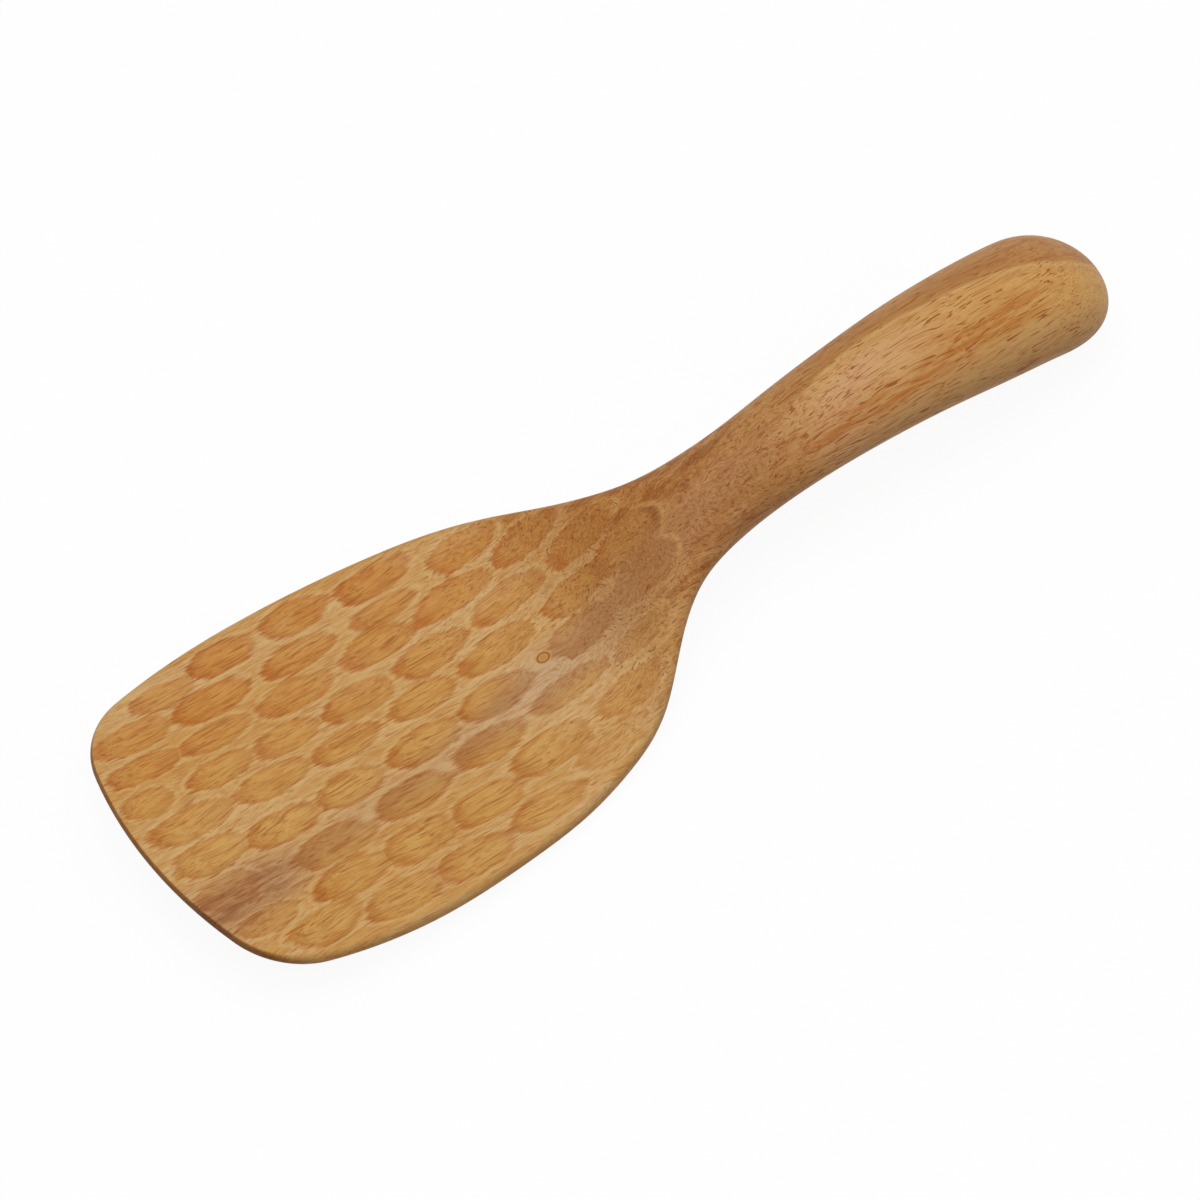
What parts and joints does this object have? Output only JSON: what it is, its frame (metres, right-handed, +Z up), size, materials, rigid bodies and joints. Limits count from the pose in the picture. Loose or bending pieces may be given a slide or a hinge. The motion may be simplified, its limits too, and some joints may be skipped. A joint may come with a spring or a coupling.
{
  "type": "rice paddle",
  "caption": "Wooden rice paddle with a thin, rounded square blade covered in shallow oval scoops, a slim neck and an arched oval handle.",
  "frame": {"origin": "centre of the paddle's bounding box in plan, at the height of the table that it lies on", "axes": "+X from the tip of the blade towards the end of the handle, +Y across the blade, +Z up, with the scooped face on top"},
  "size_m": [0.2202, 0.0732, 0.0282],
  "materials": {
    "oiled_wood": "satin, oiled"
  },
  "bodies": {
    "root": {"paddle": "oiled_wood"}
  },
  "joints": []
}
